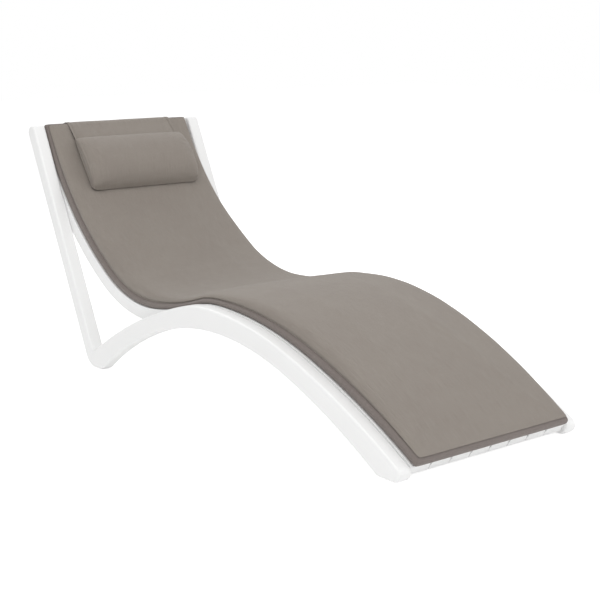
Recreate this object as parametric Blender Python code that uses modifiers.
"""Sun lounger: two moulded side frames, a slatted S-curved deck, a long cushion and a head pillow.

Metres, +Z up. The head end is at +Y, the foot end at -Y, and X runs across the width.
The origin is on the floor, in the middle of the lounger.
"""
import math

import bmesh
import bpy
from mathutils import Matrix, Vector

# Clearances
SEAT_GAP = 0.0003
DECK_SIDE_GAP = 0.0012
CUT_OVERRUN = 0.002

# Overall
FRAME_WIDTH = 0.600
FOOT_LIFT = 0.0015
CREST_FROM_MIDDLE = 0.0869
CREST_HEIGHT = 0.275

# Deck profile, from the crest under the knees to the foot end
THIGH_RADIUS = 1.064
THIGH_TURN = 18.85
SHIN_RADIUS = 2.011
SHIN_TURN = 12.2

# Deck profile, from the crest to the head end
HIP_RADIUS = 0.290
HIP_TURN = 18.3
SEAT_RADIUS = 1.005
SEAT_TURN = 11.7
DIP_RADIUS = 0.396
DIP_TURN = 38.7
BACK_RADIUS = 0.894
BACK_TURN = 34.6

# Side frames
SIDE_WIDTH = 0.040
SIDE_EDGE_ROUND = 0.0065
LEG_DEPTH = 0.044
LEG_LEAN = 25.8
LEG_FOOT_FROM_CREST = 0.5935
LEG_TOP = 0.686
LEG_REAR_ROUND = 0.022
LEG_FRONT_ROUND = 0.012
HEEL_ROUND = 0.050
V_ROUND = 0.014
SOLE_ROUND = 0.030
ARCH_HIP_RADIUS = 0.388
ARCH_HIP_TURN = 15.3
ARCH_BACK_RADIUS = 1.570
ARCH_BACK_TURN = 16.3
ARCH_DEPTH = 0.060
VAULT_AHEAD_OF_CREST = 0.040
VAULT_REAR_RADIUS = 0.731
VAULT_REAR_TURN = 15.3
VAULT_HEEL_RADIUS = 1.031
VAULT_HEEL_TURN = 21.4
VAULT_FRONT_RADIUS = 0.856
VAULT_FRONT_TURN = 19.3
VAULT_TOE_RADIUS = 1.682
VAULT_TOE_TURN = 12.5

# Foot glides
GLIDE_LENGTH = 0.034
GLIDE_WIDTH = 0.024
GLIDE_THICKNESS = 0.0045
GLIDE_ROUND = 0.0012
GLIDE_PEG_RADIUS = 0.004
GLIDE_PEG_LENGTH = 0.010

# Deck moulding
SLAT_COUNT = 8
SLOT_WIDTH = 0.006
SLAT_THICKNESS = 0.012
RIM_WALL = 0.007
RIM_DEPTH = 0.037
RIM_FRONT_DEPTH = 0.027
RIM_TOP_DEPTH = 0.021
RIM_TAPER = 0.300
RIB_LENGTH = 0.010
RIB_RECESS = 0.007
RIB_DEPTH = 0.021
RIB_SEAT = 0.003
END_RAIL_LENGTH = 0.012
DECK_FOOT_OVERHANG = 0.006
NOTCH_DEPTH = 0.009

# Screws and inserts
SCREW_RADIUS = 0.0030
SCREW_HEAD_RADIUS = 0.0055
SCREW_HEAD_HEIGHT = 0.0035
SCREW_LENGTH = 0.022
INSERT_WALL = 0.0015
INSERT_LENGTH = 0.014
INSERT_BLIND = 0.003
SCREW_DROP = 0.0190

# Cushion
CUSHION_SIDE_GAP = 0.008
CUSHION_THICKNESS = 0.056
CUSHION_SEAM_HEIGHT = 0.020
CUSHION_SEAM_DRAW = 0.004
CUSHION_BULGE = 0.006
CUSHION_BULGE_HEIGHT = 0.010
CUSHION_FOLD = 0.014
CUSHION_FLANK = 0.002
CUSHION_SHOULDER = 0.012
CUSHION_FLAT_EDGE = 0.046
CUSHION_CORNER = 0.007
CUSHION_FOOT_OVERHANG = 0.010
CUSHION_HEAD_SETBACK = 0.003
# How thick the cushion is along its length: shares of the deck's length and of the thickness
CUSHION_THICKNESS_SHARES = (
    (0.000, 0.500),
    (0.016, 0.590),
    (0.048, 0.750),
    (0.090, 0.910),
    (0.140, 1.050),
    (0.200, 1.130),
    (0.260, 1.100),
    (0.310, 1.020),
    (0.360, 0.850),
    (0.400, 0.660),
    (0.440, 0.540),
    (0.480, 0.540),
    (0.520, 0.640),
    (0.560, 0.830),
    (0.600, 1.040),
    (0.640, 1.200),
    (0.680, 1.270),
    (0.720, 1.280),
    (0.760, 1.220),
    (0.800, 1.100),
    (0.832, 1.000),
    (0.910, 0.980),
    (0.945, 0.910),
    (0.965, 0.810),
    (0.984, 0.630),
    (1.000, 0.480),
)
# Where the rows of the upper panel lie between the seam and the top
CUSHION_FLANK_SHARE = 0.40
CUSHION_SHOULDER_SHARE = 0.90
COVER_CLOTH = 0.0012
CORE_CLEARANCE = 0.0008

# Zip at the cushion's head end
ZIP_TAPE = 0.0010
ZIP_EDGE_GAP = 0.0019
ZIP_CHAIN_WIDTH = 0.0050
ZIP_CHAIN_HEIGHT = 0.0016
ZIP_SLIDER_LENGTH = 0.010
ZIP_SLIDER_WIDTH = 0.008
ZIP_SLIDER_HEIGHT = 0.0024
ZIP_PULL_LENGTH = 0.022
ZIP_PULL_WIDTH = 0.004
ZIP_PULL_HEIGHT = 0.0012

# Ties under the cushion
TIE_CLOTH = 0.0010
TIE_WIDTH = 0.0045
TIE_SLACK = 0.0010

# Pillow
PILLOW_SIDE_INSET = 0.0625
PILLOW_LENGTH = 0.190
PILLOW_FROM_HEAD = 0.252
PILLOW_THICKNESS = 0.060
PILLOW_SHIFT = 0.003
PILLOW_TOP_THICKNESS = 0.010
PILLOW_END_DRAW = 0.014
PILLOW_CLOTH = 0.0012
PILLOW_SLIT = 0.0030
FILL_CLEARANCE = 0.0008

# Flap and counterweight
FLAP_SIDE_INSET = 0.005
FLAP_CLOTH = 0.0012
FLAP_LIFT = 0.0030
FLAP_DROP = 0.150
FLAP_BACK_CLEAR = 0.0040
POCKET_HEIGHT = 0.034
POCKET_DEPTH = 0.011
POCKET_CORNER_SHARE = 0.2
WEIGHT_SIDE_INSET = 0.011
WEIGHT_HEIGHT = 0.024
WEIGHT_DEPTH = 0.006

COLOURS = {
    "resin": (0.86, 0.86, 0.85),
    "canvas": (0.30, 0.27, 0.235),
    "foam": (0.85, 0.80, 0.62),
    "rubber": (0.12, 0.12, 0.12),
    "steel": (0.62, 0.62, 0.64),
    "brass": (0.72, 0.56, 0.28),
    "zip": (0.20, 0.18, 0.16),
}


def clear_scene():
    for item in list(bpy.data.objects):
        bpy.data.objects.remove(item, do_unlink=True)


def new_collection(name):
    group = bpy.data.collections.new(name)
    bpy.context.scene.collection.children.link(group)
    return group


def make_material(slot, roughness, metallic=0.0):
    material = bpy.data.materials.new(slot)
    material.use_nodes = True
    shader = material.node_tree.nodes["Principled BSDF"]
    shader.inputs["Base Color"].default_value = (*COLOURS[slot], 1.0)
    shader.inputs["Roughness"].default_value = roughness
    shader.inputs["Metallic"].default_value = metallic
    return material


# Side profiles are walked in the plane of Y and Z. A heading is an angle from +Y towards +Z.


def walk_arcs(start, heading, arcs):
    """Join tangent arcs end to end. Each arc is a radius and a turn in degrees, left positive."""
    pieces = []
    point = Vector(start)
    for radius, turn in arcs:
        turn = math.radians(turn)
        side = math.copysign(1.0, turn)
        normal = Vector((-math.sin(heading), math.cos(heading)))
        centre = point + normal * radius * side
        pieces.append((centre, radius, side, heading, abs(turn)))
        heading += turn
        normal = Vector((-math.sin(heading), math.cos(heading)))
        point = centre - normal * radius * side
    return pieces, point, heading


def arc_place(piece, angle):
    """The point and heading at an angle along one arc piece."""
    centre, radius, side, heading, _ = piece
    now = heading + side * angle
    normal = Vector((-math.sin(now), math.cos(now)))
    return centre - normal * radius * side, now


def sample_arcs(start, heading, arcs, counts):
    """Points along tangent arcs, with the given number of steps on each."""
    pieces, _, _ = walk_arcs(start, heading, arcs)
    points = [Vector(start)]
    for piece, count in zip(pieces, counts):
        for step in range(1, count + 1):
            point, _ = arc_place(piece, piece[4] * step / count)
            points.append(point)
    return points


def fillet(before, corner, after, radius, count=6):
    """Points of the round that replaces a corner between two straight lines."""
    inward = (before - corner).normalized()
    outward = (after - corner).normalized()
    half = inward.angle(outward) / 2
    reach = radius / math.tan(half)
    bisector = (inward + outward).normalized()
    centre = corner + bisector * radius / math.sin(half)
    first = corner + inward * reach - centre
    last = corner + outward * reach - centre
    sweep = first.angle_signed(last)
    points = []
    for step in range(count + 1):
        turned = first.copy()
        turned.rotate(Matrix.Rotation(-sweep * step / count, 2))
        points.append(centre + turned)
    return points


def meet(point_a, slope_a, point_b, slope_b):
    """Where two lines cross. A slope is a direction vector."""
    cross = slope_a.x * slope_b.y - slope_a.y * slope_b.x
    offset = point_b - point_a
    reach = (offset.x * slope_b.y - offset.y * slope_b.x) / cross
    return point_a + slope_a * reach


CREST = Vector((-CREST_FROM_MIDDLE, CREST_HEIGHT))
FOOT_ARCS = ((THIGH_RADIUS, THIGH_TURN), (SHIN_RADIUS, SHIN_TURN))
DECK_ARCS = (
    (SHIN_RADIUS, -SHIN_TURN),
    (THIGH_RADIUS, -THIGH_TURN),
    (HIP_RADIUS, -HIP_TURN),
    (SEAT_RADIUS, SEAT_TURN),
    (DIP_RADIUS, DIP_TURN),
    (BACK_RADIUS, BACK_TURN),
)
DECK_STEPS = (5, 4, 3, 3, 7, 7)
# Both the deck and the cushion are creased at this distance from their ends
END_LINE = CUSHION_FOLD + CUSHION_BULGE + CUSHION_CORNER


class Deck:
    """The deck's top line from the foot end to the head end, measured along the curve."""

    def __init__(self):
        foot_end = sample_arcs(CREST, math.pi, FOOT_ARCS, (1, 1))[-1]
        self.start_heading = math.radians(THIGH_TURN + SHIN_TURN)
        self.pieces, self.head_end, self.head_heading = walk_arcs(
            foot_end, self.start_heading, DECK_ARCS)
        self.foot_end = foot_end
        self.stations = [0.0]
        self.starts = []
        total = 0.0
        for piece, count in zip(self.pieces, DECK_STEPS):
            self.starts.append(total)
            length = piece[1] * piece[4]
            for step in range(1, count + 1):
                self.stations.append(total + length * step / count)
            total += length
        self.length = total
        self.stations += [END_LINE, total - END_LINE]
        self.stations.sort()
        self.back_centre = self.pieces[-1][0]

    def place(self, along, height):
        """The point at a length along the deck and a height square to it."""
        if along <= 0.0:
            point, heading = self.foot_end, self.start_heading
            spare = along
        elif along >= self.length:
            point, heading = self.head_end, self.head_heading
            spare = along - self.length
        else:
            for piece, begin in zip(reversed(self.pieces), reversed(self.starts)):
                if along >= begin:
                    break
            point, heading = arc_place(piece, (along - begin) / piece[1])
            spare = 0.0
        ahead = Vector((math.cos(heading), math.sin(heading)))
        normal = Vector((-ahead.y, ahead.x))
        return point + ahead * spare + normal * height

    def heading(self, along):
        nudge = self.length / 1e4
        ahead = self.place(along + nudge, 0.0) - self.place(along - nudge, 0.0)
        return math.atan2(ahead.y, ahead.x)


DECK = Deck()


# Mesh helpers


def to_object(name, mesh, group, material, smooth_angle=35.0):
    item = bpy.data.objects.new(name, mesh)
    group.objects.link(item)
    if material:
        mesh.materials.clear()
        mesh.materials.append(material)
    mesh.shade_smooth()
    mesh.set_sharp_from_angle(angle=math.radians(smooth_angle))
    return item


def mesh_from(bm, name):
    mesh = bpy.data.meshes.new(name)
    bm.to_mesh(mesh)
    bm.free()
    return mesh


def loft(bm, rings):
    """Skin closed rings one after another and cap both ends."""
    rows = [[bm.verts.new(point) for point in ring] for ring in rings]
    count = len(rows[0])
    faces = [bm.faces.new(rows[0]), bm.faces.new(rows[-1])]
    for row, following in zip(rows, rows[1:]):
        for index in range(count):
            after = (index + 1) % count
            faces.append(bm.faces.new((row[index], row[after], following[after], following[index])))
    bmesh.ops.recalc_face_normals(bm, faces=faces)
    return faces


def boxed(bm, centre, size, turn=0.0):
    """A box placed in the side view, turned about the width axis."""
    matrix = Matrix.Translation(centre) @ Matrix.Rotation(turn, 4, "X")
    matrix = matrix @ Matrix.Diagonal((*size, 1.0))
    bmesh.ops.create_cube(bm, size=1.0, matrix=matrix)


def rod(bm, centre, radius, length, axis, sides=16):
    """A plain cylinder with its middle at the centre."""
    turn = Vector((0.0, 0.0, 1.0)).rotation_difference(Vector(axis)).to_matrix().to_4x4()
    matrix = Matrix.Translation(centre) @ turn
    bmesh.ops.create_cone(bm, cap_ends=True, segments=sides, radius1=radius, radius2=radius,
                          depth=length, matrix=matrix)


def boolean(item, other, operation):
    cut = item.modifiers.new(operation.title(), "BOOLEAN")
    cut.object = other
    cut.operation = operation
    cut.solver = "EXACT"


def as_cutter(name, bm, cutters):
    item = bpy.data.objects.new(name, mesh_from(bm, name))
    cutters.objects.link(item)
    item.hide_render = True
    item.display_type = "WIRE"
    return item


def flat_outline(name, points, half_width, edge_round, group, material):
    """A 2D outline in the plane of Y and Z, extruded across the width with rounded edges."""
    curve = bpy.data.curves.new(name, "CURVE")
    curve.dimensions = "2D"
    curve.fill_mode = "BOTH"
    curve.extrude = half_width - edge_round
    curve.bevel_depth = edge_round
    curve.bevel_resolution = 2
    curve.offset = -edge_round
    spline = curve.splines.new("POLY")
    spline.points.add(len(points) - 1)
    for target, point in zip(spline.points, points):
        target.co = (point.x, point.y, 0.0, 1.0)
    spline.use_cyclic_u = True
    drawn = bpy.data.objects.new(name + "_outline", curve)
    group.objects.link(drawn)
    drawn.rotation_euler = (math.pi / 2, 0.0, math.pi / 2)
    bpy.context.view_layer.update()
    evaluated = drawn.evaluated_get(bpy.context.evaluated_depsgraph_get())
    mesh = bpy.data.meshes.new_from_object(evaluated)
    bm = bmesh.new()
    bm.from_mesh(mesh)
    bmesh.ops.remove_doubles(bm, verts=bm.verts, dist=0.00002)
    bmesh.ops.transform(bm, matrix=drawn.matrix_world, verts=bm.verts)
    bmesh.ops.recalc_face_normals(bm, faces=bm.faces)
    bm.to_mesh(mesh)
    bm.free()
    bpy.data.objects.remove(drawn, do_unlink=True)
    return to_object(name, mesh, group, material)


def turned(name, profile, closed, sides, group, material):
    """A profile of radius and height pairs, spun about Z by a Screw modifier."""
    bm = bmesh.new()
    verts = [bm.verts.new((radius, 0.0, height)) for radius, height in profile]
    for first, second in zip(verts, verts[1:]):
        bm.edges.new((first, second))
    if closed:
        bm.edges.new((verts[-1], verts[0]))
    item = bpy.data.objects.new(name, mesh_from(bm, name))
    group.objects.link(item)
    item.data.materials.append(material)
    spin = item.modifiers.new("Turn", "SCREW")
    spin.steps = sides
    spin.render_steps = sides
    spin.use_merge_vertices = True
    spin.merge_threshold = 0.00001
    spin.use_smooth_shade = True
    return item


# Side frames


def side_outline():
    """The outline of one side frame, and the two flats that its glides sit in."""
    crown = CREST
    sole = FOOT_LIFT
    slope = math.radians(THIGH_TURN + SHIN_TURN)
    shin = sample_arcs(crown, math.pi, FOOT_ARCS, (12, 12))
    toe = shin[-1]
    nose_radius = (toe.y - sole) / (1.0 + math.cos(slope))
    nose = toe + Vector((math.sin(slope), -math.cos(slope))) * nose_radius
    nose_points = []
    nose_steps = 9
    for step in range(1, nose_steps + 1):
        angle = math.pi / 2 + slope + (math.pi - slope) * step / nose_steps
        nose_points.append(nose + Vector((math.cos(angle), math.sin(angle))) * nose_radius)

    vault = crown + Vector((-VAULT_AHEAD_OF_CREST, -ARCH_DEPTH))
    toe_arcs = ((VAULT_FRONT_RADIUS, VAULT_FRONT_TURN), (VAULT_TOE_RADIUS, VAULT_TOE_TURN))
    heel_arcs = ((VAULT_REAR_RADIUS, -VAULT_REAR_TURN), (VAULT_HEEL_RADIUS, -VAULT_HEEL_TURN))
    vault_front = sample_arcs(vault, math.pi, toe_arcs, (8, 7))
    vault_rear = sample_arcs(vault, 0.0, heel_arcs, (8, 8))
    flat = Vector((1.0, 0.0))
    sole_point = Vector((0.0, sole))
    toe_corner = meet(vault_front[-1], vault_front[-1] - vault_front[-2], sole_point, flat)
    heel_corner = meet(vault_rear[-1], vault_rear[-1] - vault_rear[-2], sole_point, flat)

    lean = math.radians(LEG_LEAN)
    up = Vector((math.sin(lean), math.cos(lean)))
    back = Vector((math.cos(lean), -math.sin(lean)))
    ground = Vector((LEG_FOOT_FROM_CREST - CREST_FROM_MIDDLE, 0.0))
    rear_corner = meet(ground, up, sole_point, flat)
    top = Vector((0.0, LEG_TOP))
    rear_top = meet(ground, up, top, flat)
    front_line = ground - back * LEG_DEPTH
    front_top = meet(front_line, up, top, flat)
    arch_arcs = ((ARCH_HIP_RADIUS, -ARCH_HIP_TURN), (ARCH_BACK_RADIUS, -ARCH_BACK_TURN))
    arch = sample_arcs(crown, 0.0, arch_arcs, (5, 9))
    inner_corner = meet(arch[-1], arch[-1] - arch[-2], front_line, up)

    toe_round = fillet(nose_points[-1], toe_corner, vault_front[-1], SOLE_ROUND, 3)
    heel_round = fillet(vault_rear[-1], heel_corner, rear_corner, SOLE_ROUND, 3)
    rear_round = fillet(heel_corner, rear_corner, rear_top, HEEL_ROUND, 6)
    points = []
    points += toe_round
    points += list(reversed(vault_front))
    points += vault_rear[1:]
    points += heel_round
    points += rear_round
    points += fillet(rear_corner, rear_top, front_top, LEG_REAR_ROUND, 6)
    points += fillet(rear_top, front_top, inner_corner, LEG_FRONT_ROUND, 5)
    points += fillet(front_top, inner_corner, arch[-1], V_ROUND, 5)
    points += list(reversed(arch))
    points += shin[1:]
    points += nose_points
    flats = ((nose_points[-1].x + toe_round[0].x) / 2, (heel_round[-1].x + rear_round[0].x) / 2)
    return points, flats


SIDES = (("left", -1.0), ("right", 1.0))
SIDE_INNER = FRAME_WIDTH / 2 - SIDE_WIDTH
SIDE_CENTRE = FRAME_WIDTH / 2 - SIDE_WIDTH / 2
DECK_HALF = SIDE_INNER - DECK_SIDE_GAP
SLAT_PITCH = 2 * DECK_HALF / SLAT_COUNT

INSERT_RADIUS = SCREW_RADIUS + SEAT_GAP + INSERT_WALL
# Where the deck is screwed to the side frames, as shares of the deck's length
SCREW_PLACE_SHARES = (0.080, 0.260, 0.420, 0.870, 0.930)


def screw_places():
    return [DECK.place(DECK.length * share, -SCREW_DROP) for share in SCREW_PLACE_SHARES]


def make_side_frame(label, side, group, cutters, resin):
    points, flats = side_outline()
    frame = flat_outline(label + "_side_frame", points, SIDE_WIDTH / 2, SIDE_EDGE_ROUND, group, resin)
    frame.data.transform(Matrix.Translation((side * SIDE_CENTRE, 0.0, 0.0)))
    bm = bmesh.new()
    tip = SCREW_LENGTH - RIM_WALL - DECK_SIDE_GAP
    depth = tip + INSERT_BLIND
    for place in screw_places():
        centre = (side * (SIDE_INNER + (depth - CUT_OVERRUN) / 2), place.x, place.y)
        rod(bm, centre, INSERT_RADIUS + SEAT_GAP, depth + CUT_OVERRUN, (1.0, 0.0, 0.0))
    recess = GLIDE_THICKNESS - FOOT_LIFT + SEAT_GAP
    for flat in flats:
        height = recess + CUT_OVERRUN
        middle = FOOT_LIFT + recess - height / 2
        room = 2 * SEAT_GAP
        size = (GLIDE_WIDTH + room, GLIDE_LENGTH + room, height)
        boxed(bm, (side * SIDE_CENTRE, flat, middle), size)
    pegs = bmesh.new()
    for flat in flats:
        length = GLIDE_PEG_LENGTH + SEAT_GAP + CUT_OVERRUN
        middle = GLIDE_THICKNESS + GLIDE_PEG_LENGTH + SEAT_GAP - length / 2
        rod(pegs, (side * SIDE_CENTRE, flat, middle), GLIDE_PEG_RADIUS + SEAT_GAP, length,
            (0.0, 0.0, 1.0), 12)
    boolean(frame, as_cutter(label + "_side_cuts", bm, cutters), "DIFFERENCE")
    boolean(frame, as_cutter(label + "_peg_cuts", pegs, cutters), "DIFFERENCE")
    return flats


def make_glide(name, x, y, group, cutters, rubber):
    """A foot pad with a peg that presses into the sole."""
    bm = bmesh.new()
    boxed(bm, (0.0, 0.0, GLIDE_THICKNESS / 2), (GLIDE_WIDTH, GLIDE_LENGTH, GLIDE_THICKNESS))
    lower = [edge for edge in bm.edges if all(vert.co.z < GLIDE_THICKNESS / 2 for vert in edge.verts)]
    bmesh.ops.bevel(bm, geom=lower, offset=GLIDE_ROUND, segments=2, profile=0.5, affect="EDGES",
                    material=-1)
    pad = to_object(name, mesh_from(bm, name), group, rubber)
    pad.location = (x, y, 0.0)
    peg = bmesh.new()
    embed = GLIDE_THICKNESS / 2
    rod(peg, (x, y, GLIDE_THICKNESS + (GLIDE_PEG_LENGTH - embed) / 2), GLIDE_PEG_RADIUS,
        GLIDE_PEG_LENGTH + embed, (0.0, 0.0, 1.0), 12)
    boolean(pad, as_cutter(name + "_peg", peg, cutters), "UNION")


# Seat deck


def rim_depth(along):
    """The rim is deepest in the seat and shallow at both ends."""
    foot = min(max(along / RIM_TAPER, 0.0), 1.0)
    head = min((DECK.length - along) / RIM_TAPER, 1.0)
    from_foot = RIM_FRONT_DEPTH + (RIM_DEPTH - RIM_FRONT_DEPTH) * foot * (2.0 - foot)
    from_head = RIM_TOP_DEPTH + (RIM_DEPTH - RIM_TOP_DEPTH) * head * (2.0 - head)
    return min(from_foot, from_head)


def deck_ring(along, section):
    ring = []
    for x, height in section:
        point = DECK.place(along, height)
        ring.append((x, point.x, point.y))
    return ring


# Ribs under the slats, as shares of the deck's length
RIB_PLACE_SHARES = (0.100, 0.200, 0.300, 0.395, 0.490, 0.585, 0.680, 0.780, 0.895)


def make_deck(group, cutters, resin):
    bm = bmesh.new()
    foot_end = -DECK_FOOT_OVERHANG
    stations = [foot_end] + DECK.stations[1:]
    inner_edge = SLAT_PITCH * (SLAT_COUNT / 2 - 1) + SLOT_WIDTH / 2
    for number in range(1, SLAT_COUNT - 1):
        left = SLAT_PITCH * (number - SLAT_COUNT / 2) + SLOT_WIDTH / 2
        right = left + SLAT_PITCH - SLOT_WIDTH
        section = ((left, 0.0), (right, 0.0), (right, -SLAT_THICKNESS), (left, -SLAT_THICKNESS))
        loft(bm, [deck_ring(along, section) for along in stations])
    for _, side in SIDES:
        rings = []
        for along in stations:
            depth = rim_depth(along)
            section = (
                (side * inner_edge, 0.0),
                (side * DECK_HALF, 0.0),
                (side * DECK_HALF, -depth),
                (side * (DECK_HALF - RIM_WALL), -depth),
                (side * (DECK_HALF - RIM_WALL), -SLAT_THICKNESS),
                (side * inner_edge, -SLAT_THICKNESS),
            )
            rings.append(deck_ring(along, section))
        loft(bm, rings)
    deck = to_object("seat_deck", mesh_from(bm, "seat_deck"), group, resin)

    ribs = bmesh.new()
    half = DECK_HALF - RIM_WALL + RIB_SEAT
    middle = -(RIB_RECESS + RIB_DEPTH) / 2
    for share in RIB_PLACE_SHARES:
        along = DECK.length * share
        point = DECK.place(along, middle)
        size = (2 * half, RIB_LENGTH, RIB_DEPTH - RIB_RECESS)
        boxed(ribs, (0.0, point.x, point.y), size, DECK.heading(along))
    step = SEAT_GAP
    for along, depth in ((foot_end, RIM_FRONT_DEPTH), (DECK.length, RIM_TOP_DEPTH)):
        inward = END_RAIL_LENGTH / 2 + step
        inward = inward if along == foot_end else -inward
        low = depth - step
        point = DECK.place(along + inward, -(NOTCH_DEPTH + low) / 2)
        size = (2 * half, END_RAIL_LENGTH, low - NOTCH_DEPTH)
        boxed(ribs, (0.0, point.x, point.y), size, DECK.heading(along + inward))
    boolean(deck, as_cutter("deck_ribs", ribs, cutters), "UNION")

    holes = bmesh.new()
    for _, side in SIDES:
        for place in screw_places():
            centre = (side * (DECK_HALF - RIM_WALL / 2), place.x, place.y)
            rod(holes, centre, SCREW_RADIUS + SEAT_GAP, RIM_WALL + 2 * CUT_OVERRUN, (1.0, 0.0, 0.0))
    boolean(deck, as_cutter("deck_screw_holes", holes, cutters), "DIFFERENCE")


def make_fasteners(group, steel, brass):
    for label, side in SIDES:
        turn = math.pi / 2 if side > 0 else -math.pi / 2
        for number, place in enumerate(screw_places(), start=1):
            head = SCREW_HEAD_HEIGHT
            profile = (
                (0.0, head),
                (SCREW_HEAD_RADIUS * 0.7, head),
                (SCREW_HEAD_RADIUS, head / 2),
                (SCREW_HEAD_RADIUS, 0.0),
                (SCREW_RADIUS, 0.0),
                (SCREW_RADIUS, -SCREW_LENGTH + SCREW_RADIUS / 2),
                (SCREW_RADIUS / 2, -SCREW_LENGTH),
                (0.0, -SCREW_LENGTH),
            )
            name = f"{label}_deck_screw_{number}"
            screw = turned(name, profile, False, 12, group, steel)
            under_head = DECK_HALF - RIM_WALL - SEAT_GAP
            screw.location = (side * under_head, place.x, place.y)
            screw.rotation_euler = (0.0, -turn, 0.0)
            outer = INSERT_RADIUS
            bore = SCREW_RADIUS + SEAT_GAP
            ring = ((outer, 0.0), (outer, -INSERT_LENGTH), (bore, -INSERT_LENGTH), (bore, 0.0))
            name = f"{label}_insert_{number}"
            insert = turned(name, ring, True, 12, group, brass)
            insert.location = (side * (SIDE_INNER + SEAT_GAP), place.x, place.y)
            insert.rotation_euler = (0.0, -turn, 0.0)


# Cushion

CUSHION_WIDTH = 2 * (SIDE_INNER - CUSHION_SIDE_GAP)
PILLOW_WIDTH = CUSHION_WIDTH - 2 * PILLOW_SIDE_INSET
FLAP_WIDTH = PILLOW_WIDTH - 2 * FLAP_SIDE_INSET
WEIGHT_WIDTH = FLAP_WIDTH - 2 * WEIGHT_SIDE_INSET


def cushion_thickness(along):
    """The cushion's thickness at a place along the deck."""
    place = min(max(along / DECK.length, 0.0), 1.0)
    for (begin, low), (end, high) in zip(CUSHION_THICKNESS_SHARES, CUSHION_THICKNESS_SHARES[1:]):
        if place <= end:
            break
    share = low + (high - low) * (place - begin) / (end - begin)
    return CUSHION_THICKNESS * share


def above_seam(along, share):
    """A height that lies a share of the way from the seam to the cushion's top."""
    return CUSHION_SEAM_HEIGHT + (cushion_thickness(along) - CUSHION_SEAM_HEIGHT) * share


def cushion_lines():
    """The grid lines of the cushion: places along the deck, and places across it."""
    foot = -CUSHION_FOOT_OVERHANG
    head = DECK.length - CUSHION_HEAD_SETBACK
    along = [foot] + DECK.stations[1:-1] + [head]
    half = CUSHION_WIDTH / 2
    flat = half - CUSHION_FLAT_EDGE
    across = [-half, -flat, -flat / 3, flat / 3, flat, half]
    return along, across


def shrink(bm, distance):
    """Draw a closed surface in by a distance."""
    bmesh.ops.triangulate(bm, faces=bm.faces, quad_method="FIXED")
    bm.normal_update()
    shifts = [(vert, vert.normal * distance * vert.calc_shell_factor()) for vert in bm.verts]
    for vert, shift in shifts:
        vert.co -= shift


def cushion_body():
    """The cushion's surface as a closed grid."""
    along, across = cushion_lines()
    rings = (
        (-CUSHION_FOLD, lambda place: SEAT_GAP),
        (CUSHION_BULGE, lambda place: CUSHION_BULGE_HEIGHT),
        (-CUSHION_SEAM_DRAW, lambda place: CUSHION_SEAM_HEIGHT),
        (CUSHION_FLANK, lambda place: above_seam(place, CUSHION_FLANK_SHARE)),
        (-CUSHION_SHOULDER, lambda place: above_seam(place, CUSHION_SHOULDER_SHARE)),
    )
    bm = bmesh.new()
    last_row = len(along) - 1
    last_column = len(across) - 1

    def point_at(row, column, offset, height_at, corner=0.0):
        s = along[row]
        x = across[column]
        on_end = row in (0, last_row)
        on_side = column in (0, last_column)
        pull = corner if on_end and on_side else 0.0
        if on_end:
            s += (offset - pull) * (-1.0 if row == 0 else 1.0)
        if on_side:
            x += (offset - pull) * (-1.0 if column == 0 else 1.0)
        place = DECK.place(s, height_at(s))
        return (x, place.x, place.y)

    border = [(0, column) for column in range(last_column)]
    border += [(row, last_column) for row in range(last_row)]
    border += [(last_row, column) for column in range(last_column, 0, -1)]
    border += [(row, 0) for row in range(last_row, 0, -1)]
    loops = []
    for offset, height_at in rings:
        loops.append({cell: bm.verts.new(point_at(*cell, offset, height_at, CUSHION_CORNER))
                      for cell in border})
    for lower, upper in zip(loops, loops[1:]):
        for here, there in zip(border, border[1:] + border[:1]):
            bm.faces.new((lower[here], lower[there], upper[there], upper[here]))

    def panel(edge_loop, height_at):
        grid = dict(edge_loop)
        for row in range(1, last_row):
            for column in range(1, last_column):
                grid[(row, column)] = bm.verts.new(point_at(row, column, 0.0, height_at))
        for row in range(last_row):
            for column in range(last_column):
                corners = ((row, column), (row, column + 1), (row + 1, column + 1), (row + 1, column))
                bm.faces.new([grid[corner] for corner in corners])

    panel(loops[0], lambda place: SEAT_GAP)
    panel(loops[-1], cushion_thickness)
    bmesh.ops.recalc_face_normals(bm, faces=bm.faces)
    return bm, loops, last_row, last_column


def make_cushion(group, canvas, foam):
    bm, loops, last_row, last_column = cushion_body()
    slit = []
    for column in range(1, last_column - 1):
        wanted = {loops[1][(last_row, column)], loops[1][(last_row, column + 1)],
                  loops[2][(last_row, column)], loops[2][(last_row, column + 1)]}
        slit += [face for face in bm.faces if set(face.verts) == wanted]
    bmesh.ops.delete(bm, geom=slit, context="FACES")
    bmesh.ops.triangulate(bm, faces=bm.faces, quad_method="FIXED")
    cover = to_object("cushion_cover", mesh_from(bm, "cushion_cover"), group, canvas)
    wall = cover.modifiers.new("Cloth", "SOLIDIFY")
    wall.thickness = COVER_CLOTH
    wall.offset = -1.0
    core_bm, _, _, _ = cushion_body()
    shrink(core_bm, COVER_CLOTH + CORE_CLEARANCE)
    to_object("cushion_core", mesh_from(core_bm, "cushion_core"), group, foam)


def zip_line():
    """The lower and upper edge of the zip's opening, as places along and above the deck."""
    head = DECK.length - CUSHION_HEAD_SETBACK
    low = DECK.place(head + CUSHION_BULGE, CUSHION_BULGE_HEIGHT)
    high = DECK.place(head - CUSHION_SEAM_DRAW, CUSHION_SEAM_HEIGHT)
    return low, high


def bar_across(name, section, x_from, x_to, group, material):
    """A section in the side view, carried straight across the width."""
    bm = bmesh.new()
    rings = [[(x, point.x, point.y) for point in section] for x in (x_from, x_to)]
    loft(bm, rings)
    return to_object(name, mesh_from(bm, name), group, material)


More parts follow.
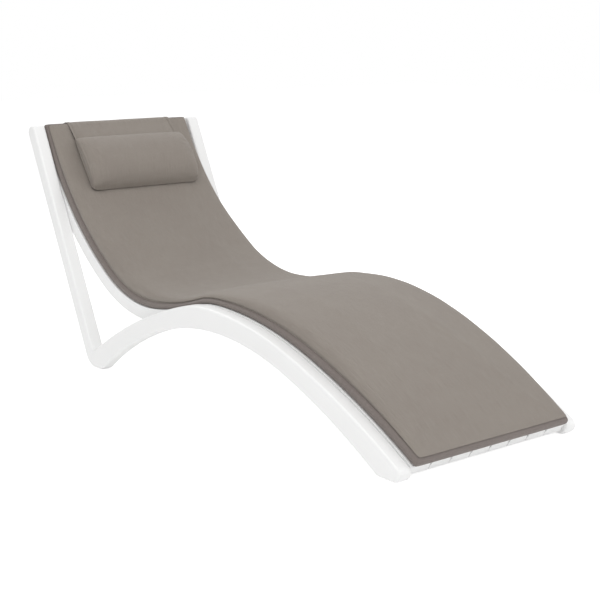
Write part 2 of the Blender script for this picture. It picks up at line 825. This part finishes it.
def make_zip(group, zip_cloth, steel):
    low, high = zip_line()
    up = (high - low).normalized()
    out = Vector((up.y, -up.x))
    centre = (low + high) / 2
    flat = CUSHION_WIDTH / 2 - CUSHION_FLAT_EDGE
    half = (high - low).length / 2 - ZIP_EDGE_GAP
    chain = ZIP_CHAIN_WIDTH / 2
    proud = ZIP_CHAIN_HEIGHT
    section = [
        centre - up * half,
        centre - up * chain,
        centre - up * chain + out * proud,
        centre + up * chain + out * proud,
        centre + up * chain,
        centre + up * half,
        centre + up * half - out * ZIP_TAPE,
        centre - up * half - out * ZIP_TAPE,
    ]
    bar_across("zip_chain", section, -flat + SEAT_GAP, flat - SEAT_GAP, group, zip_cloth)
    outer = ZIP_SLIDER_WIDTH / 2
    inner = chain + SEAT_GAP
    roof = proud + SEAT_GAP
    slider = [
        centre - up * outer + out * SEAT_GAP,
        centre - up * outer + out * ZIP_SLIDER_HEIGHT,
        centre + up * outer + out * ZIP_SLIDER_HEIGHT,
        centre + up * outer + out * SEAT_GAP,
        centre + up * inner + out * SEAT_GAP,
        centre + up * inner + out * roof,
        centre - up * inner + out * roof,
        centre - up * inner + out * SEAT_GAP,
    ]
    start = flat - ZIP_SLIDER_LENGTH - 2 * SEAT_GAP
    item = bar_across("zip_slider", slider, start, start + ZIP_SLIDER_LENGTH, group, steel)
    pull = bmesh.new()
    rise = ZIP_SLIDER_HEIGHT + ZIP_PULL_HEIGHT / 2 - ZIP_PULL_HEIGHT / 3
    middle = centre + out * rise
    x = start + ZIP_SLIDER_LENGTH / 2 + ZIP_PULL_LENGTH / 2 - ZIP_SLIDER_LENGTH / 4
    boxed(pull, (x, middle.x, middle.y), (ZIP_PULL_LENGTH, ZIP_PULL_WIDTH, ZIP_PULL_HEIGHT),
          math.atan2(up.y, up.x))
    return item, pull


def sheet_section(path, thickness):
    """Both sides of a cloth path in the side view. The path is the side that faces what it covers."""
    near = []
    far = []
    for index, point in enumerate(path):
        before = path[max(index - 1, 0)]
        after = path[min(index + 1, len(path) - 1)]
        ahead = (after - before).normalized()
        normal = Vector((-ahead.y, ahead.x))
        near.append(point)
        far.append(point + normal * thickness)
    return near, far


def make_sheet(name, path, thickness, x_from, x_to, group, material):
    """A strip of cloth that follows a path in the side view."""
    near, far = sheet_section(path, thickness)
    bm = bmesh.new()
    rings = []
    for first, second in zip(near, far):
        rings.append([(x_from, first.x, first.y), (x_to, first.x, first.y),
                      (x_to, second.x, second.y), (x_from, second.x, second.y)])
    loft(bm, rings)
    return to_object(name, mesh_from(bm, name), group, material)


TIES = (("foot", 0), ("head", -1))


def make_ties(group, canvas):
    """Tapes sewn under the cushion that loop round a rib through a slot."""
    for place, rib in TIES:
        along = DECK.length * RIB_PLACE_SHARES[rib]
        reach = RIB_LENGTH / 2 + TIE_SLACK
        low = -RIB_DEPTH - TIE_SLACK
        top = -2 * SEAT_GAP
        path = [
            DECK.place(along + reach, top),
            DECK.place(along + reach, low / 2),
            DECK.place(along + reach, low),
            DECK.place(along - reach, low),
            DECK.place(along - reach, low / 2),
            DECK.place(along - reach, top),
        ]
        for label, side in SIDES:
            x = side * SLAT_PITCH * (SLAT_COUNT / 2 - 1)
            make_sheet(f"{label}_{place}_tie", path, TIE_CLOTH, x - TIE_WIDTH / 2, x + TIE_WIDTH / 2,
                       group, canvas)


# Pillow, flap and counterweight

# The pillow's section: shares of its length up the back, and of its thickness
PILLOW_SECTION_SHARES = (
    (0.000, 0.00),
    (-0.012, 0.14),
    (0.000, 0.36),
    (0.050, 0.60),
    (0.140, 0.82),
    (0.260, 0.95),
    (0.400, 1.00),
    (0.550, 0.95),
    (0.700, 0.81),
    (0.850, 0.56),
)
PILLOW_BACK_SHARES = (0.97, 0.62, 0.32)
# Across the pillow: shares of half its width, and how far the cushioned front is drawn in there
PILLOW_RING_SHARES = (
    (1.00, 1.00),
    (0.97, 0.40),
    (0.91, 0.00),
    (0.50, 0.00),
    (0.00, 0.00),
)
PILLOW_RUN_GAP = 0.0010
PILLOW_BASE = CUSHION_THICKNESS + PILLOW_RUN_GAP
PILLOW_FOOT = DECK.length - PILLOW_FROM_HEAD
PILLOW_MIDDLE = -PILLOW_SHIFT


def pillow_section():
    """The pillow's outline in the side view."""
    low = PILLOW_FOOT
    length = PILLOW_LENGTH
    base = PILLOW_BASE
    deep = PILLOW_THICKNESS
    section = []
    for along_share, deep_share in PILLOW_SECTION_SHARES:
        section.append(DECK.place(low + length * along_share, base + deep * deep_share))
    section.append(DECK.place(low + length, base + PILLOW_TOP_THICKNESS))
    for along_share in PILLOW_BACK_SHARES:
        section.append(DECK.place(low + length * along_share, base))
    slit = low + length * PILLOW_BACK_SHARES[-1] - PILLOW_SLIT
    section.append(DECK.place(slit, base))
    return section


def pillow_body():
    section = pillow_section()
    middle = sum(section, Vector((0.0, 0.0))) / len(section)
    half = PILLOW_WIDTH / 2
    bm = bmesh.new()
    rings = []
    stops = [(-share, draw_share) for share, draw_share in PILLOW_RING_SHARES]
    stops += list(reversed(PILLOW_RING_SHARES[:-1]))
    for share, draw_share in stops:
        ring = []
        for index, point in enumerate(section):
            on_back = index == 0 or index >= len(PILLOW_SECTION_SHARES)
            draw = 0.0 if on_back else PILLOW_END_DRAW * draw_share
            moved = point + (middle - point).normalized() * draw
            ring.append((PILLOW_MIDDLE + half * share, moved.x, moved.y))
        rings.append(ring)
    loft(bm, rings)
    return bm, len(section)


def make_pillow(group, canvas, foam):
    bm, count = pillow_body()
    bm.verts.ensure_lookup_table()
    slit = []
    last = len(PILLOW_RING_SHARES) - 1
    for ring in (last - 1, last):
        first = ring * count + count - 2
        wanted = {bm.verts[first], bm.verts[first + 1],
                  bm.verts[first + count], bm.verts[first + count + 1]}
        slit += [face for face in bm.faces if set(face.verts) == wanted]
    bmesh.ops.delete(bm, geom=slit, context="FACES")
    bmesh.ops.triangulate(bm, faces=bm.faces, quad_method="FIXED")
    cover = to_object("pillow_cover", mesh_from(bm, "pillow_cover"), group, canvas)
    wall = cover.modifiers.new("Cloth", "SOLIDIFY")
    wall.thickness = PILLOW_CLOTH
    wall.offset = -1.0
    fill_bm, _ = pillow_body()
    shrink(fill_bm, PILLOW_CLOTH + FILL_CLEARANCE)
    fill = to_object("pillow_fill", mesh_from(fill_bm, "pillow_fill"), group, foam)
    return cover, fill


def flap_path():
    """From the pillow's top seam, over the cushion's head end, and straight down behind the deck."""
    end = DECK.length - CUSHION_HEAD_SETBACK
    seam = PILLOW_BASE + PILLOW_TOP_THICKNESS - FLAP_CLOTH
    rear = DECK.place(DECK.length, -RIM_TOP_DEPTH).x + FLAP_BACK_CLEAR
    crease = DECK.length - END_LINE
    brow = end - CUSHION_SHOULDER
    past = end + CUSHION_BULGE + FLAP_LIFT
    path = [
        DECK.place(PILLOW_FOOT + PILLOW_LENGTH + SEAT_GAP, seam),
        DECK.place(crease, cushion_thickness(crease) + 2 * FLAP_LIFT),
        DECK.place(brow, cushion_thickness(brow) + FLAP_LIFT),
        DECK.place(end, cushion_thickness(end) + FLAP_LIFT),
        DECK.place(past, CUSHION_SEAM_HEIGHT - FLAP_LIFT),
        DECK.place(past, CUSHION_BULGE_HEIGHT / 2),
    ]
    turn = Vector((rear - FLAP_BACK_CLEAR / 4, path[-1].y - 2 * FLAP_LIFT))
    fall = Vector((rear, turn.y - 2 * FLAP_LIFT))
    bottom = LEG_TOP - FLAP_DROP
    path += [turn, fall]
    runs = 4
    for step in range(1, runs + 1):
        path.append(Vector((rear, fall.y + (bottom - fall.y) * step / runs)))
    return path, rear, bottom


def make_flap(group, canvas, steel):
    path, rear, bottom = flap_path()
    half = FLAP_WIDTH / 2
    flap = make_sheet("pillow_flap", path, FLAP_CLOTH, PILLOW_MIDDLE - half, PILLOW_MIDDLE + half,
                      group, canvas)
    top = bottom - SEAT_GAP
    middle = Vector((rear + POCKET_DEPTH / 2, top - POCKET_HEIGHT / 2))
    bm = bmesh.new()
    corner = POCKET_DEPTH * POCKET_CORNER_SHARE
    half_depth = POCKET_DEPTH / 2
    half_height = POCKET_HEIGHT / 2
    outline = []
    for y_side, z_side in ((1, 1), (-1, 1), (-1, -1), (1, -1)):
        y = y_side * half_depth
        z = z_side * half_height
        along_top = Vector((y - y_side * corner, z))
        along_side = Vector((y, z - z_side * corner))
        pair = [along_side, along_top] if y_side == z_side else [along_top, along_side]
        outline += [middle + point for point in pair]
    ends = (PILLOW_MIDDLE - half, PILLOW_MIDDLE + half)
    rows = [[bm.verts.new((x, point.x, point.y)) for point in outline] for x in ends]
    for index in range(len(outline)):
        after = (index + 1) % len(outline)
        bm.faces.new((rows[0][index], rows[0][after], rows[1][after], rows[1][index]))
    bmesh.ops.recalc_face_normals(bm, faces=bm.faces)
    pocket = to_object("weight_pocket", mesh_from(bm, "weight_pocket"), group, canvas)
    wall = pocket.modifiers.new("Cloth", "SOLIDIFY")
    wall.thickness = FLAP_CLOTH
    wall.offset = -1.0
    bar = bmesh.new()
    floor = top - POCKET_HEIGHT + FLAP_CLOTH + SEAT_GAP
    boxed(bar, (PILLOW_MIDDLE, middle.x, floor + WEIGHT_HEIGHT / 2),
          (WEIGHT_WIDTH, WEIGHT_DEPTH, WEIGHT_HEIGHT))
    edges = list(bar.edges)
    bmesh.ops.bevel(bar, geom=edges, offset=WEIGHT_DEPTH / 5, segments=2, profile=0.5,
                    affect="EDGES", material=-1)
    weight = to_object("counterweight", mesh_from(bar, "counterweight"), group, steel)
    return flap, pocket, weight


def main():
    clear_scene()
    group = new_collection("sun_lounger")
    cutters = new_collection("cutters")
    resin = make_material("resin", 0.35)
    canvas = make_material("canvas", 0.9)
    foam = make_material("foam", 0.95)
    rubber = make_material("rubber", 0.8)
    steel = make_material("steel", 0.3, 1.0)
    brass = make_material("brass", 0.35, 1.0)
    zip_cloth = make_material("zip", 0.7)
    for label, side in SIDES:
        flats = make_side_frame(label, side, group, cutters, resin)
        for place, y in zip(("foot", "head"), flats):
            make_glide(f"{label}_{place}_glide", side * SIDE_CENTRE, y, group, cutters, rubber)
    make_deck(group, cutters, resin)
    make_fasteners(group, steel, brass)
    make_cushion(group, canvas, foam)
    slider, pull = make_zip(group, zip_cloth, steel)
    boolean(slider, as_cutter("zip_pull", pull, cutters), "UNION")
    make_ties(group, canvas)
    cover, fill = make_pillow(group, canvas, foam)
    flap, pocket, weight = make_flap(group, canvas, steel)

    pillow_axis = bpy.data.objects.new("pillow_axis", None)
    group.objects.link(pillow_axis)
    pillow_axis.location = (0.0, DECK.back_centre.x, DECK.back_centre.y)
    weight_axis = bpy.data.objects.new("weight_axis", None)
    group.objects.link(weight_axis)
    zip_axis = bpy.data.objects.new("zip_axis", None)
    group.objects.link(zip_axis)
    bpy.context.view_layer.update()
    for parent, children in ((pillow_axis, (cover, fill)), (weight_axis, (pocket, weight)),
                             (zip_axis, (slider,))):
        for child in children:
            child.parent = parent
            child.matrix_parent_inverse = parent.matrix_world.inverted()


main()
